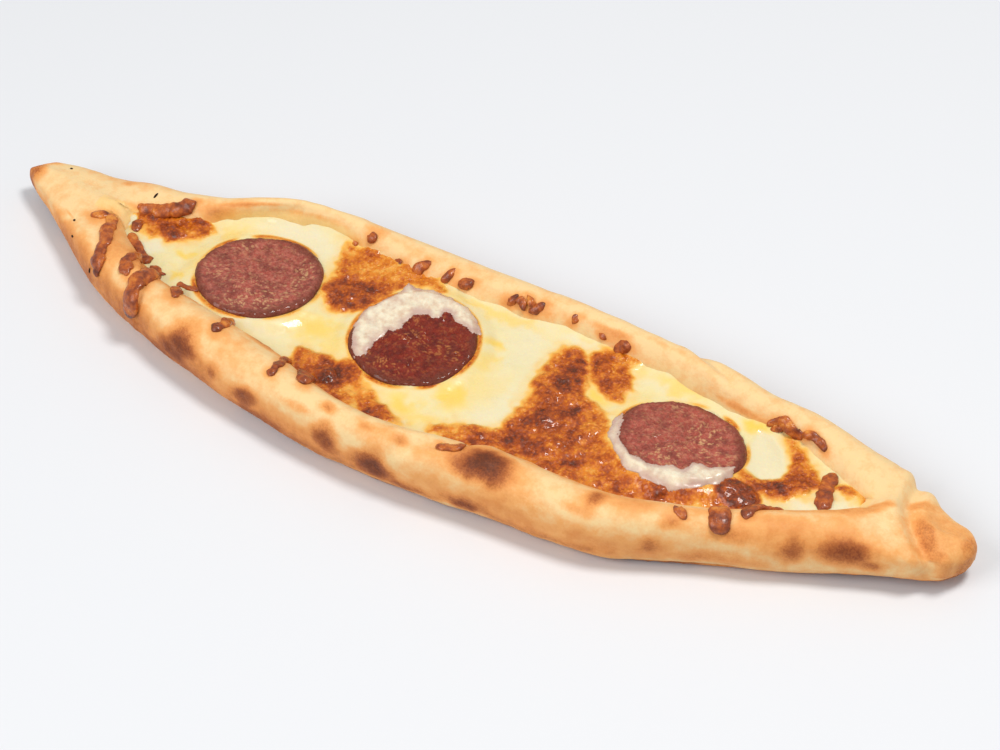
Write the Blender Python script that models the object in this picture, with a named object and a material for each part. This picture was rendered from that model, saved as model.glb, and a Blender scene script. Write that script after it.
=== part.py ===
"""Sucuk and cheese pide: a boat-shaped flatbread with rolled rims, melted cheese and three sausage slices.

Frame: +X along the boat towards the knobbed tip, +Y towards the far rim, +Z up.
The origin is under the middle of the bread, on the surface that it lies on.
"""

import math

import bmesh
import bpy
import numpy as np

MM = 0.001

# Driving sizes of the bread, in metres.
HALF_LENGTH = 177.0 * MM
NEAR_CREST = 20.5 * MM
FAR_CREST = 19.5 * MM
TIP_LIFT = 4.5 * MM  # how far the underside curls up at each tip
TIP_RUN = 0.68  # share of the half length at which that curl starts
BASE_THICKNESS = 5.5 * MM  # of the dough under the filling
CHEESE_LEVEL = 13.2 * MM
CHEESE_CROWN = 0.9 * MM  # how far the middle of the filling stands above its edges
CHEESE_BURIED = 3.0 * MM  # underside of the uncut slab, inside the dough
CLEARANCE = 0.3 * MM  # between pieces that touch
FACET_SLACK = 0.15 * MM  # added where facets cross a hollow

# The bread is a loft along X. Its ribs come from these stations, as (x, value) in millimetres.
NEAR_EDGE = (
    (-177, 12), (-170, 8.5), (-155, -1), (-140, -11), (-120, -22.5), (-95, -32), (-70, -39), (-40, -44), (-5, -46.4),
    (35, -44), (60, -42.5), (76, -40), (90, -34), (110, -25.5), (130, -16.5), (145, -10), (158, -5), (168, -1), (177, 5),
)
FAR_EDGE = (
    (-177, 17), (-170, 21), (-150, 23.5), (-130, 28), (-118, 29), (-105, 31.5), (-88, 37.5), (-70, 42.5), (-40, 45.8),
    (0, 46.4), (32, 45.3), (70, 42), (85, 40.8), (97, 38.5), (112, 38), (131, 35), (142, 32.3), (152, 28.5),
    (163, 22), (168, 20), (177, 18),
)
# The width of each rim, from its outer wall to the filling's floor.
NEAR_RIM = (
    (-140, 20), (-105, 19), (-80, 22), (-50, 22.5), (-30, 17), (12, 17), (30, 20.5), (60, 19), (90, 17.5), (140, 20),
)
FAR_RIM = (
    (-130, 17), (-108, 14), (-88, 9.5), (-66, 9.5), (-50, 14), (0, 16), (35, 13), (60, 12.5), (84, 15), (108, 14),
    (130, 19),
)
WALL_SHARE = 0.45  # of a rim's width that lies outside its crest
WIDEST_RIM = 0.9  # of the half width, so that the two rims never meet
# A rim's outer wall is an ellipse whose cosine and sine are raised to these powers, which makes it a little boxy.
WALL_OUT_POWER = 0.85
WALL_UP_POWER = 0.9

# How high each crest stands, as (x in millimetres, share of the crest height).
NEAR_HEIGHT = (
    (-177, 0.60), (-165, 0.66), (-140, 0.80), (-110, 0.95), (-70, 1.0), (100, 1.0), (140, 0.94), (156, 0.85),
    (177, 0.72),
)
FAR_HEIGHT = (
    (-177, 0.62), (-165, 0.68), (-140, 0.82), (-110, 0.98), (-76, 1.08), (-50, 1.0), (100, 1.0), (140, 0.9),
    (160, 0.8), (177, 0.74),
)

# How far each tip is rounded off.
LEFT_ROUND = 8.0 * MM
RIGHT_ROUND = 6.5 * MM
TIP_FLAT = 0.25 * MM  # cut off each tip, where the loft is capped
BLUNTNESS = 0.3  # of the half height that is left at the very end
TIP_DOME = 1.2 * MM  # how far a tip's middle stands above its edges

# Where the trough for the filling starts and ends, and how far it takes to reach its full depth.
TROUGH_START = -141.0 * MM
TROUGH_END = 151.0 * MM
TROUGH_RUN = 24.0 * MM

# Folds pressed into the dough: a plan path in millimetres, then the depth and the width of the groove.
CREASES = (
    (((152, 25), (154, 14), (158, 5), (164, 0), (170, -4)), 2.6, 3.4),  # sets the knob off from the body
    (((9, -39), (19, -34), (26, -26)), 1.2, 3.2),  # lap in the near rim
    (((66, 42), (76, 38), (84, 36)), 1.2, 3.2),  # lap in the far rim
)

# The edge of the flap that folds from the left tip over the near rim.
FLAP_EDGE = ((-121.0, 3.0), (-114.0, -8.0), (-107.0, -18.0), (-101.0, -31.0))
FLAP_STEP = 1.0 * MM
FLAP_RUN = 14.0 * MM
FOLD_REACH = 0.6  # the folds fade out where a surface faces down by more than this share

# Counts for the faceted solids.
STATIONS = 84
WALL_POINTS = 9
INNER_POINTS = 6
FLOOR_POINTS = 3
UNDERSIDE_POINTS = 5
CHEESE_STATIONS = 16
CHEESE_POINTS = 8

# Sausage slices: name, centre x and y, width and depth, tilt about X in degrees, turn about Z in degrees.
SLICES = (
    ("sucuk_left", -75.3, 4.3, 42.5, 40.0, 3.0, 20.0),
    ("sucuk_middle", -15.6, 4.3, 41.5, 42.5, -1.0, 0.0),
    ("sucuk_right", 80.0, 5.9, 42.5, 36.5, 6.0, 0.0),
)
SLICE_THICKNESS = 3.4 * MM
SLICE_TOP = 15.6 * MM  # height of the middle of a slice's top
SLICE_SIDES = 48
SLICE_EDGE = 0.9 * MM
BED_HEIGHT = 8.0 * MM  # of the bed cutters above a slice's top, to reach out of the cheese


def clear_scene():
    for obj in list(bpy.data.objects):
        bpy.data.objects.remove(obj)


def smoothstep(low, high, value):
    share = np.clip((value - low) / (high - low), 0.0, 1.0)
    return share * share * (3.0 - 2.0 * share)


def along(x, stations):
    """A smooth curve through (x, value) stations in millimetres, level past its ends."""
    knots, values = np.array(stations, float).T
    slopes = np.gradient(values, knots)
    x = np.clip(x / MM, knots[0], knots[-1])
    i = np.clip(np.searchsorted(knots, x) - 1, 0, len(knots) - 2)
    span = knots[i + 1] - knots[i]
    t = (x - knots[i]) / span
    start = (2 * t**3 - 3 * t**2 + 1) * values[i] + (t**3 - 2 * t**2 + t) * span * slopes[i]
    end = (3 * t**2 - 2 * t**3) * values[i + 1] + (t**3 - t**2) * span * slopes[i + 1]
    return start + end


def tip_rounding(x):
    """A share that falls to 0 at each tip along a quarter circle."""
    reach = LEFT_ROUND if x < 0 else RIGHT_ROUND
    left = min(1.0, (HALF_LENGTH - abs(x)) / reach)
    return math.sqrt(1.0 - (1.0 - left) ** 2)


def rib(x):
    """The sizes of the cross-section at x."""
    rounding = tip_rounding(x)
    near = float(along(x, NEAR_EDGE)) * MM
    far = float(along(x, FAR_EDGE)) * MM
    middle = (near + far) / 2
    half = (far - near) / 2 * rounding
    tip = float(smoothstep(TIP_RUN, 1.0, abs(x) / HALF_LENGTH))
    near_top = NEAR_CREST * float(along(x, NEAR_HEIGHT))
    far_top = FAR_CREST * float(along(x, FAR_HEIGHT))
    depth = float(smoothstep(TROUGH_START, TROUGH_START + TROUGH_RUN, x))
    depth *= 1.0 - float(smoothstep(TROUGH_END - TROUGH_RUN, TROUGH_END, x))
    raised = max(near_top, far_top) + TIP_DOME
    heights = {
        "base": TIP_LIFT * tip,
        "near_top": near_top,
        "far_top": far_top,
        "floor": raised + (BASE_THICKNESS - raised) * depth,
    }
    waist = (heights["base"] + near_top) / 2
    thinning = BLUNTNESS + (1.0 - BLUNTNESS) * rounding
    sizes = {name: waist + (z - waist) * thinning for name, z in heights.items()}
    sizes["near"] = middle - half
    sizes["far"] = middle + half
    sizes["near_rim"] = min(float(along(x, NEAR_RIM)) * MM, half * WIDEST_RIM)
    sizes["far_rim"] = min(float(along(x, FAR_RIM)) * MM, half * WIDEST_RIM)
    return sizes


def rim_points(edge, inward, width, top, base, floor):
    """One rim from the underside over its crest to the filling's floor, as (y, z) pairs.

    edge is the y of the outer wall, and inward is +1 or -1, the way to the filling.
    """
    wall = width * WALL_SHARE
    crest = edge + inward * wall
    half_height = (top - base) / 2
    points = []
    for i in range(WALL_POINTS):
        angle = math.pi * (i / (WALL_POINTS - 1) - 0.5)
        bulge = math.cos(angle) ** WALL_OUT_POWER
        rise = math.copysign(abs(math.sin(angle)) ** WALL_UP_POWER, angle)
        points.append((crest - inward * wall * bulge, base + half_height * (1.0 + rise)))
    for i in range(1, INNER_POINTS):
        angle = math.pi / 2 * i / (INNER_POINTS - 1)
        y = crest + inward * (width - wall) * math.sin(angle)
        points.append((y, floor + (top - floor) * math.cos(angle)))
    return points


def crust_section(x):
    """The closed outline of the dough at x, as points in 3-D."""
    r = rib(x)
    near = rim_points(r["near"], 1, r["near_rim"], r["near_top"], r["base"], r["floor"])
    far = rim_points(r["far"], -1, r["far_rim"], r["far_top"], r["base"], r["floor"])
    far.reverse()
    floor = bridge(near[-1], far[0], FLOOR_POINTS)
    underside = bridge(far[-1], near[0], UNDERSIDE_POINTS)
    return [(x, y, z) for y, z in near + floor + far + underside]


def bridge(start, end, count):
    """count points evenly between start and end, without the ends."""
    steps = [(i + 1) / (count + 1) for i in range(count)]
    return [tuple(a + (b - a) * step for a, b in zip(start, end)) for step in steps]


def loft(name, sections):
    """A closed mesh through sections that all have the same number of points."""
    mesh = bmesh.new()
    rings = [[mesh.verts.new(point) for point in section] for section in sections]
    count = len(rings[0])
    for ring, following in zip(rings, rings[1:]):
        for i in range(count):
            j = (i + 1) % count
            mesh.faces.new((ring[i], ring[j], following[j], following[i]))
    for ring in (rings[0], rings[-1]):
        middle = mesh.verts.new(np.mean([vert.co for vert in ring], axis=0))
        for i in range(count):
            mesh.faces.new((ring[i], ring[(i + 1) % count], middle))
    bmesh.ops.recalc_face_normals(mesh, faces=mesh.faces)
    data = bpy.data.meshes.new(name)
    mesh.to_mesh(data)
    mesh.free()
    return data


def distance_to_path(x, y, path):
    """How far a plan point is from a path of plan points, and the side it is on: +1 to the left of it."""
    nearest, side = math.inf, 1
    for (ax, ay), (bx, by) in zip(path, path[1:]):
        dx, dy = bx - ax, by - ay
        share = max(0.0, min(1.0, ((x - ax) * dx + (y - ay) * dy) / (dx * dx + dy * dy)))
        distance = math.hypot(x - ax - share * dx, y - ay - share * dy)
        if distance < nearest:
            nearest = distance
            side = 1 if dx * (y - ay) - dy * (x - ax) > 0 else -1
    return nearest, side


def fold_dough(data):
    """Presses the creases into the mesh and raises the flap that laps over the near rim."""
    normals = [vert.normal.copy() for vert in data.vertices]
    for vert, normal in zip(data.vertices, normals):
        x, y = vert.co.x / MM, vert.co.y / MM
        distance, side = distance_to_path(x, y, FLAP_EDGE)
        move = FLAP_STEP * max(0.0, 1.0 - distance * MM / FLAP_RUN) if side < 0 else 0.0
        for path, depth, width in CREASES:
            distance, _ = distance_to_path(x, y, path)
            move -= depth * MM * math.exp(-((distance / width) ** 2))
        vert.co += normal * move * max(0.0, min(1.0, normal.z + FOLD_REACH))


def cheese_section(x, start, end):
    """The filling's outline at x before it is fitted: from crest to crest, with a slightly crowned top."""
    r = rib(x)
    near = r["near"] + r["near_rim"] * WALL_SHARE
    far = r["far"] - r["far_rim"] * WALL_SHARE
    swell = math.sin(math.pi * (x - start) / (end - start))
    points = [(near, CHEESE_BURIED)]
    for i in range(CHEESE_POINTS + 1):
        share = i / CHEESE_POINTS
        crown = CHEESE_CROWN * math.sin(math.pi * share) * max(0.0, swell)
        points.append((near + (far - near) * share, CHEESE_LEVEL + crown))
    points.append((far, CHEESE_BURIED))
    return [(x, y, z) for y, z in points]


def material(name, colour, roughness):
    made = bpy.data.materials.new(name)
    made.use_nodes = True
    shader = made.node_tree.nodes["Principled BSDF"]
    shader.inputs["Base Color"].default_value = (*colour, 1.0)
    shader.inputs["Roughness"].default_value = roughness
    shader.inputs["Metallic"].default_value = 0.0
    return made


def add_object(name, data, collection, finish):
    obj = bpy.data.objects.new(name, data)
    collection.objects.link(obj)
    data.materials.append(finish)
    return obj


def add_cutter(name, data, cutters):
    obj = bpy.data.objects.new(name, data)
    cutters.objects.link(obj)
    obj.hide_render = True
    obj.display_type = "WIRE"
    return obj


def stations(start, end, count):
    """Places from start to end, packed closer towards both ends so that the tips come out round."""
    return [start + (end - start) * (1 - math.cos(math.pi * i / (count - 1))) / 2 for i in range(count)]


def make_crust(collection):
    end = HALF_LENGTH - TIP_FLAT
    places = stations(-end, end, STATIONS)
    data = loft("crust", [crust_section(x) for x in places])
    fold_dough(data)
    data.shade_smooth()
    return add_object("crust", data, collection, material("baked_dough", (0.78, 0.50, 0.24), 0.6))


def make_crust_cutter(crust, cutters):
    """The dough grown by the clearance, to fit the filling to its trough."""
    data = crust.data.copy()
    for vert in data.vertices:
        vert.co += vert.normal * (CLEARANCE + FACET_SLACK)
    return add_cutter("grown_crust", data, cutters)


def make_cheese(collection, fitted_to):
    """The filling: a slab from crest to crest, cut to the trough and to the beds of the slices."""
    count = CHEESE_STATIONS
    places = [TROUGH_START + (TROUGH_END - TROUGH_START) * i / (count - 1) for i in range(count)]
    data = loft("cheese", [cheese_section(x, TROUGH_START, TROUGH_END) for x in places])
    cheese = add_object("cheese", data, collection, material("melted_cheese", (0.90, 0.72, 0.36), 0.35))
    for cutter in fitted_to:
        cut = cheese.modifiers.new(f"less_{cutter.name}", "BOOLEAN")
        cut.operation = "DIFFERENCE"
        cut.solver = "EXACT"
        cut.object = cutter
    return cheese


def slice_mesh(name, width, depth, bottom, top, edge):
    """An upright oval disc between two local heights, with its rims rounded if edge isn't 0."""
    mesh = bmesh.new()
    bmesh.ops.create_cone(mesh, cap_ends=True, segments=SLICE_SIDES, radius1=0.5, radius2=0.5, depth=top - bottom)
    for vert in mesh.verts:
        vert.co.x *= width
        vert.co.y *= depth
        vert.co.z += (top + bottom) / 2
    if edge:
        rims = [e for e in mesh.edges if max(len(face.verts) for face in e.link_faces) > 4]
        bmesh.ops.bevel(mesh, geom=rims, offset=edge, segments=2, profile=0.5, affect="EDGES")
    data = bpy.data.meshes.new(name)
    mesh.to_mesh(data)
    mesh.free()
    return data


def make_slices(collection, cutters):
    """The three slices, and for each a slightly larger cutter that clears its bed in the cheese."""
    finish = material("sucuk", (0.36, 0.10, 0.08), 0.45)
    beds = []
    for name, x, y, width, depth, tilt, turn in SLICES:
        width *= MM
        depth *= MM
        data = slice_mesh(name, width, depth, -SLICE_THICKNESS, 0.0, SLICE_EDGE)
        piece = add_object(name, data, collection, finish)
        bed_name = f"bed_{name}"
        bed_bottom = -SLICE_THICKNESS - CLEARANCE
        data = slice_mesh(bed_name, width + 2 * CLEARANCE, depth + 2 * CLEARANCE, bed_bottom, BED_HEIGHT, 0.0)
        bed = add_cutter(bed_name, data, cutters)
        for obj in (piece, bed):
            obj.rotation_euler = (math.radians(-tilt), 0.0, math.radians(turn))
            obj.location = (x * MM, y * MM, SLICE_TOP)
        beds.append(bed)
    return beds


def main():
    clear_scene()
    parts = bpy.data.collections.new("sucuk_pide")
    cutters = bpy.data.collections.new("cutters")
    for collection in (parts, cutters):
        bpy.context.scene.collection.children.link(collection)
    crust = make_crust(parts)
    make_cheese(parts, [make_crust_cutter(crust, cutters)] + make_slices(parts, cutters))


main()
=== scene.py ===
"""The look of the sucuk and cheese pide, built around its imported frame.

Every place is in millimetres in the frame's own axes: +X along the bread towards the knob, +Y towards
the far rim.
"""

import math

import bmesh
import bpy
import numpy as np
from mathutils import Matrix, Vector
from mathutils.bvhtree import BVHTree


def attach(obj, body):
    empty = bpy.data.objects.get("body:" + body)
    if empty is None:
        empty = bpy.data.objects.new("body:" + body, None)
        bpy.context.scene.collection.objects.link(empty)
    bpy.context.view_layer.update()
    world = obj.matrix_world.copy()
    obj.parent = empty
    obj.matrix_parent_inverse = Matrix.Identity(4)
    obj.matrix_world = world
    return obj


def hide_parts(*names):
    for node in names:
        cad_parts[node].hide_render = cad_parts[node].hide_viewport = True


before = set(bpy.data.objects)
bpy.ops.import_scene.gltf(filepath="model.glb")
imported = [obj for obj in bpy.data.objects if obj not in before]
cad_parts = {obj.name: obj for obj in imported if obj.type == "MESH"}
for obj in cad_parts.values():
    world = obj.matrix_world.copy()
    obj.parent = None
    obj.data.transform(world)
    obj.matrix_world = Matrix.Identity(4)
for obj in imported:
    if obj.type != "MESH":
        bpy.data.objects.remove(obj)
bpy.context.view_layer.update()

MM = 0.001

# ------ sizes of the dough, as in the solids

HALF_LENGTH = 177.0
NEAR_CREST = 20.5
FAR_CREST = 19.5
TIP_LIFT = 4.5
TIP_RUN = 0.68
BASE_THICKNESS = 5.5
CHEESE_LEVEL = 13.3
NEAR_EDGE = (
    (-177, 12), (-170, 8.5), (-155, -1), (-140, -11), (-120, -22.5), (-95, -32), (-70, -39), (-40, -44),
    (-5, -46.4), (35, -44), (60, -42.5), (76, -40), (90, -34), (110, -25.5), (130, -16.5), (145, -10),
    (158, -5), (168, -1), (177, 5),
)
FAR_EDGE = (
    (-177, 17), (-170, 21), (-150, 23.5), (-130, 28), (-118, 29), (-105, 31.5), (-88, 37.5), (-70, 42.5),
    (-40, 45.8), (0, 46.4), (32, 45.3), (70, 42), (85, 40.8), (97, 38.5), (112, 38), (131, 35), (142, 32.3),
    (152, 28.5), (163, 22), (168, 20), (177, 18),
)
NEAR_RIM = (
    (-140, 20), (-105, 19), (-80, 22), (-50, 22.5), (-30, 17), (12, 17), (26, 20.5), (60, 19), (90, 17.5),
    (140, 20),
)
FAR_RIM = (
    (-130, 17), (-108, 14), (-88, 9.5), (-66, 9.5), (-50, 14), (0, 16), (35, 13), (60, 12.5), (84, 15),
    (108, 14), (130, 19),
)
NEAR_HEIGHT = (
    (-177, 0.6), (-165, 0.66), (-140, 0.8), (-110, 0.95), (-70, 1), (100, 1), (140, 0.94), (156, 0.85),
    (177, 0.72),
)
FAR_HEIGHT = (
    (-177, 0.62), (-165, 0.68), (-140, 0.82), (-110, 0.98), (-76, 1.08), (-50, 1), (100, 1), (140, 0.9),
    (160, 0.8), (177, 0.74),
)
WALL_SHARE = 0.45
WIDEST_RIM = 0.9
WALL_OUT_POWER = 0.85
WALL_UP_POWER = 0.9
LEFT_ROUND = 8.0
RIGHT_ROUND = 6.5
TIP_FLAT = 0.25
BLUNTNESS = 0.3
TIP_DOME = 1.2
TROUGH_START = -141.0
TROUGH_END = 151.0
TROUGH_RUN = 24.0

# Folds: a plan path, then the groove's depth and width.
CREASES = (
    (((152, 29), (152.5, 21), (153.5, 14), (157, 8), (162, 3), (169, -2)), 2.3, 2.3),  # sets the knob off
    (((8, -42), (17, -37), (24, -30), (27, -24)), 1.3, 2.2),  # lap in the near rim
    (((66, 42), (72, 38.5), (78, 36), (84, 33.5)), 1.0, 1.4),  # lap in the far rim
    (((-101, 20), (-96, 23.5), (-88, 29), (-79, 34)), 1.0, 1.6),  # under the thin lip at the far left
)
FLAP_EDGE = ((-128, 5), (-119, -5), (-110, -13), (-103, -21), (-101, -31))
FLAP_STEP = 1.6
FLAP_RUN = 12.0

# ------ browning and fillings

# Browned spots on the rims: x, angle round the rim, half sizes, strength. The angle is 0 outward, 90 on the
# crest and 180 at the filling's floor.
NEAR_SPOTS = (
    (-79, 42, 6.5, 38, 0.8), (-84, 0, 7, 25, 0.7), (-64, 22, 3.5, 17, 0.5), (-52, 12, 6, 22, 0.62),
    (-20, 82, 3.6, 17, 0.66), (-18, 22, 5, 32, 0.8), (-5.5, 78, 3, 10, 0.3), (0, 2, 6.5, 32, 0.92),
    (6.5, 78, 2.6, 12, 0.4), (35, 72, 8.2, 37, 1), (31, -14, 7, 18, 0.85), (71, 92, 3.6, 20, 0.52),
    (94, 62, 3.2, 16, 0.42), (90, 12, 3.2, 18, 0.4), (129, 20, 4, 26, 0.5), (144, 28, 9, 28, 0.62),
    (152, 2, 3.5, 16, 0.72), (-148, 75, 2.2, 5, 0.35), (-90, -20, 16, 22, 0.5), (60, -25, 22, 14, 0.35),
    (110, -14, 12, 18, 0.35), (-45, -22, 14, 18, 0.5), (14, -22, 10, 16, 0.6), (-134, -8, 20, 40, 0.3),
    (-108, -12, 18, 40, 0.32), (-80, -18, 20, 36, 0.34), (-40, -28, 34, 26, 0.3), (-152, -5, 14, 30, 0.22),
    (-111, 125, 8, 26, 0.45), (-86, 140, 9, 14, 0.4), (-57, 140, 9, 13, 0.6), (-122, 95, 6, 40, 0.32),
    (-100, 145, 6, 16, 0.4), (-18, 134, 15, 16, 0.35), (68, 60, 7, 14, 0.3), (112, 40, 9, 20, 0.3),
    (132, 118, 14, 12, 0.3), (-30, 50, 8, 10, 0.25), (52, 40, 10, 16, 0.25),
)
FAR_SPOTS = (
    (-103, 128, 4, 18, 0.34), (-93, 108, 10, 6, 0.4), (-74, 122, 12, 7, 0.25), (-139, 78, 3, 10, 0.35),
    (10, 126, 9, 12, 0.25), (41, 118, 6, 12, 0.3), (90, 134, 7, 6, 0.4), (-172, 60, 5, 60, 0.5),
    (-60, 20, 16, 26, 0.4), (-8, 12, 12, 24, 0.45), (44, 18, 13, 26, 0.4), (92, 14, 12, 24, 0.48),
    (132, 20, 12, 26, 0.4), (-112, 20, 16, 26, 0.35),
)
# Browned places seen from above: x, y, half sizes along and across, turn in degrees, strength.
TOP_SPOTS = (
    (163, 6, 7.5, 3.2, -38, 0.62), (157, 17, 4.5, 2.4, 10, 0.42), (166, 10, 12, 11, 0, 0.33),
    (175, 10, 3, 7, 0, 0.55), (169, 2, 5, 2.2, 10, 0.5), (163, 13, 6, 5, 0, 0.28),
    (-175, 14, 5.5, 4.5, -30, 0.72), (142, 5, 9, 2.2, 40, 0.4), (146, 9.5, 4, 1.4, 15, 0.45),
    (33, -25, 4, 1.2, 10, 0.3),
)
# Golden blush on the rims, the same way as the spots.
NEAR_BLUSH = (
    (-134, 12, 24, 52, 1.7), (-110, 6, 18, 44, 1.7), (-82, -8, 24, 42, 1.7), (-30, -12, 50, 36, 1.5),
    (32, 85, 20, 42, 0.75), (60, 0, 60, 34, 0.95), (138, 50, 26, 60, 0.9), (85, 95, 26, 26, 0.75),
    (60, 130, 50, 30, 0.45), (-4, 70, 14, 40, 0.6), (-60, 60, 12, 30, 0.2), (110, 55, 18, 40, 0.6),
)
FAR_BLUSH = (
    (-140, 60, 20, 30, 0.55), (-104, 112, 14, 30, 0.5), (10, 124, 22, 18, 0.45), (96, 130, 10, 12, 0.3),
    (0, 0, 170, 36, 0.9), (38, 118, 10, 10, 0.35), (-24, 102, 30, 18, 0.35), (64, 92, 14, 10, 0.3),
)

# Regions of the filling, as plan outlines.
BROWNED = {
    "left": (
        (-132, 12), (-128, 6), (-121, 4), (-113, 6), (-109, 8), (-104, 12), (-101, 17), (-105, 20),
        (-113, 19.5), (-121, 16), (-127, 14),
    ),
    "between": (
        (-59, 33), (-50, 34), (-22, 34), (-19, 28), (-26, 26), (-31, 27), (-33, 20), (-37, 8), (-45, 5),
        (-52, 7), (-55, 12), (-54, 18), (-57, 25),
    ),
    "near_left": (
        (-47, -16), (-40, -14.5), (-33, -15.5), (-28, -12), (-22, -17), (-16, -20), (-11, -23), (-5, -27),
        (0, -29), (-8, -33), (-34, -31), (-46, -24),
    ),
    "middle": (
        (26, 20), (27, 27), (32, 28.5), (37, 27), (40, 22), (42, 16), (44, 10), (50, 8), (55, 5), (58, 1),
        (60, -4), (66, -9), (72, -12), (79, -12), (81, -20), (74, -24), (20, -28), (9, -27), (7, -24),
        (13, -21.5), (21, -18.5), (27, -16), (29, -8), (28, 2), (26.5, 12),
    ),
    "arm": (
        (35, 29), (42, 33), (52, 33), (52, 27), (55, 20), (56, 14), (51, 12.5), (46, 16), (41, 18),
        (38, 23),
    ),
    "right_near": (
        (69, -12), (80, -12), (90, -10), (96, -4), (101, 0), (104, -5), (102, -12), (93, -14.5), (90, -20),
        (74, -22),
    ),
    "round_pool": (
        (109, 26), (114, 23), (118, 19), (122, 17), (125, 12), (124, 7), (120, 2), (113, -1), (106, -1),
        (101, 3), (100, 8), (103, 6), (108, 5), (113, 8.5), (114, 13), (112, 19), (108, 24),
    ),
    "right_end": ((129, 14), (134, 15), (141, 15), (146, 10), (143, 8), (139, 12), (133, 11.5)),
}
DARKER = {
    "between_core": ((-52, 8), (-38, 7), (-33, 14), (-31, 23), (-39, 20), (-46, 17), (-53, 13)),
    "middle_core": (
        (29, 24), (37, 25), (39, 19), (43, 10), (48, 4), (50, -4), (56, -14), (50, -21), (32, -22),
        (32, -10), (33, 0), (31, 12),
    ),
    "pool_edge": ((112, 10), (118, 12), (122, 8), (118, 3), (111, 1), (106, 2)),
    "left_core": ((-119, 8), (-111, 8), (-105, 13), (-106, 17), (-114, 15)),
    "near_left_core": ((-38, -16), (-28, -15), (-24, -20), (-30, -27), (-39, -23)),
}
# Paler, whiter stretches and yellow ones: x, y, half sizes, strength.
WHITE = (
    (-116, 1, 4, 3, 1), (-72, 27, 15, 7, 1), (20, 10, 8, 22, 0.5), (22, -8, 6, 10, 0.7), (30, 30, 6, 2, 1),
    (122, 2, 6, 3, 1), (136, 5, 6, 5, 0.9), (94, -15, 4, 2, 0.9), (-66, -16, 8, 2.5, 0.8),
    (4, -29, 10, 2.5, 0.8), (-86, 27, 4, 2, 0.7), (62, 26, 6, 3, 0.4), (15, 25, 8, 4, 0.5),
)
YELLOW = (
    (8, 17, 3, 2.5, 0.9), (10, 8, 4, 4, 0.6), (7, -11, 6, 5, 0.9), (-5, -22, 6, 4, 0.9),
    (4, -24, 5, 3, 0.6), (13, -2, 7, 9, 0.35), (-47, -5, 8, 5, 0.8), (-38, -9, 6, 4, 0.6),
    (-104, 2, 3.5, 3, 0.9), (-101, -8, 3, 2, 0.9), (-99, 0, 4, 8, 0.5), (97, 24.5, 4.5, 2.4, 1),
    (47, 12, 5, 5, 1), (68, 28, 9, 3, 0.7), (52, 29, 6, 3, 0.5), (-56, 0, 3, 8, 0.4), (0, 29, 16, 2, 0.6),
    (-95, 18, 4, 5, 0.5), (60, 12, 3, 8, 0.4),
)

# Slices of sucuk: node, centre, width and depth, tilt, turn, as in the solids, then how red and how dark the
# face is.
SLICES = (
    ("sucuk_left", -75.3, 4.3, 42.5, 40.0, 3.0, 20.0, 0.35, 0.45),
    ("sucuk_middle", -15.6, 4.3, 41.5, 42.5, -1.0, 0.0, 1.0, 0.8),
    ("sucuk_right", 80.0, 5.9, 42.5, 36.5, 6.0, 0.0, 0.45, 0.2),
)
SLICE_TOP = 15.6

# Congealed white cheese lying on slices, as plan outlines.
WHITE_CAPS = {
    "white_cheese_middle": (
        (2.5, 17), (-2, 22), (-8, 25.5), (-15, 27), (-22, 27), (-27, 25), (-31, 26.5), (-30.5, 21),
        (-34, 15), (-36.5, 8), (-36.5, 1), (-34, -5), (-31, -9), (-28, -12), (-25.5, -10), (-25, -6),
        (-26, -3), (-24, 0), (-24.5, 3), (-21, 5), (-21.5, 9), (-20.5, 14), (-17, 15.5), (-14.5, 14),
        (-12.5, 16), (-12.5, 19), (-10, 19), (-8, 16.5), (-3, 16.5), (0, 14.5),
    ),
    "white_cheese_right": (
        (58, 10), (57.3, 3), (59.5, -4), (64, -8.5), (71, -13.4), (80, -14.9), (88, -14), (92, -11.5),
        (95, -8), (98.5, -4), (101, 1), (100, 5), (98, 2.5), (93, 0.5), (88, 0), (86.5, -5), (83, -5),
        (81, -7.2), (76, -8.2), (70, -7.2), (65, -4.8), (61.8, 0), (60.5, 6),
    ),
}

# Browned shreds on the rims: half width, then (x, angle) points on the near or far rim.
NEAR_SHREDS = (
    (2.6, ((-134, 168), (-132, 135), (-128, 105), (-126, 75), (-123.5, 45), (-124, 24))),
    (2.2, ((-139.5, 110), (-137.5, 128), (-135, 160))),
    (2.3, ((-117, 150), (-115, 125), (-113, 92), (-110, 76))),
    (3, ((-108, 150), (-105, 122), (-105, 96), (-105, 70), (-104, 48), (-104, 28), (-106, 4))),
    (2, ((-97, 165), (-95.5, 140), (-93, 118), (-91, 102))),
    (1.8, ((-73, 165), (-71, 135), (-70, 110), (-70, 86))),
    (1.5, ((-47, 165), (-45.5, 135), (-44, 105), (-44, 78))),
    (2.5, ((-38, 170), (-36.5, 140), (-34, 115), (-32, 97))),
    (1.6, ((18, 102), (20, 82), (23.5, 92), (25.5, 110))), (1.6, ((92.5, 104), (95, 88), (98, 72))),
    (3.3, ((104, 124), (105.5, 98), (107.5, 66), (109, 44))),
    (2.4, ((121, 146), (117, 138), (114, 120), (113.5, 98), (114, 82))), (1.2, ((14, 152), (16, 146))),
    (1.2, ((88, 152), (92, 140))),
)
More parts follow.
